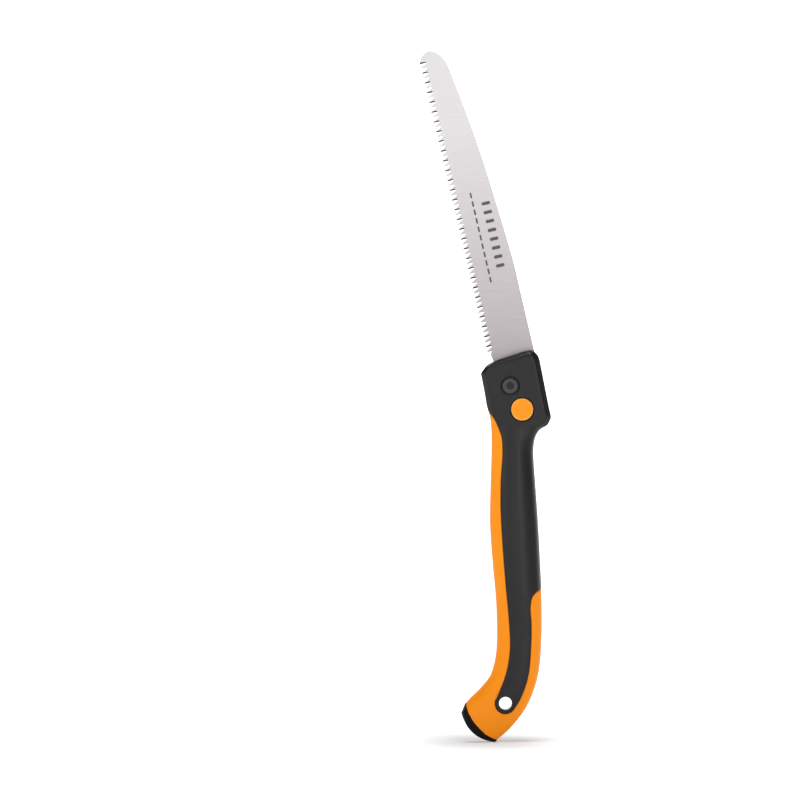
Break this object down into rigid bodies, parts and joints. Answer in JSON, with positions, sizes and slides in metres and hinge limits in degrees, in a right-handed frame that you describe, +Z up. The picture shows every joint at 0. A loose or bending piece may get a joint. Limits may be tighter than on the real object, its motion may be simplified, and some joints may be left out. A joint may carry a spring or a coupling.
{
  "type": "folding pruning saw",
  "caption": "Folding pruning saw with a long curved two-colour grip, a button lock and a wide toothed pull-stroke blade that folds into the handle's belly.",
  "frame": {"origin": "middle of the hang hole near the butt, halfway through the handle's thickness", "axes": "+X across the handle towards the blade's spine, +Y through the thickness from the button side to the nut side, +Z up along the handle towards the open blade's tip"},
  "size_m": [0.1112, 0.0284, 0.5839],
  "materials": {
    "blade_steel": "satin ground steel",
    "orange_plastic": "satin orange plastic",
    "soft_black": "fine matt soft overmould",
    "cap_rubber": "matt black rubber",
    "liner_steel": "zinc-plated steel",
    "dark_steel": "black oxide steel",
    "bronze": "plain bronze",
    "black_plastic": "matt black plastic",
    "orange_button": "satin orange plastic"
  },
  "bodies": {
    "handle": {"front_shell": "orange_plastic", "back_shell": "orange_plastic", "front_softgrip": "soft_black", "back_softgrip": "soft_black", "butt_cap": "cap_rubber", "front_liner": "liner_steel", "back_liner": "liner_steel", "pivot_bolt": "dark_steel", "pivot_bushing": "liner_steel", "front_washer": "bronze", "back_washer": "bronze", "disc_spring": "liner_steel", "pivot_nut": "dark_steel", "handle_screws": "dark_steel", "lock_cover": "black_plastic", "lock_spring": "liner_steel"},
    "saw_blade": {"blade": "blade_steel"},
    "button": {"lock_button": "orange_button", "lock_pin": "liner_steel", "button_clip": "liner_steel"}
  },
  "joints": [
    {"name": "blade_fold", "type": "hinge", "parent": "handle", "child": "saw_blade", "pos_m": [0.004, 0, 0.268], "axis": [0, -1, 0], "range_deg": [0, 161.4]},
    {"name": "button_press", "type": "slide", "parent": "handle", "child": "button", "axis": [0, 1, 0], "range_m": [0, 0.0035], "stiffness_N_per_m": 1500, "springref_m": -0.002, "deforming": ["lock_spring"]}
  ]
}
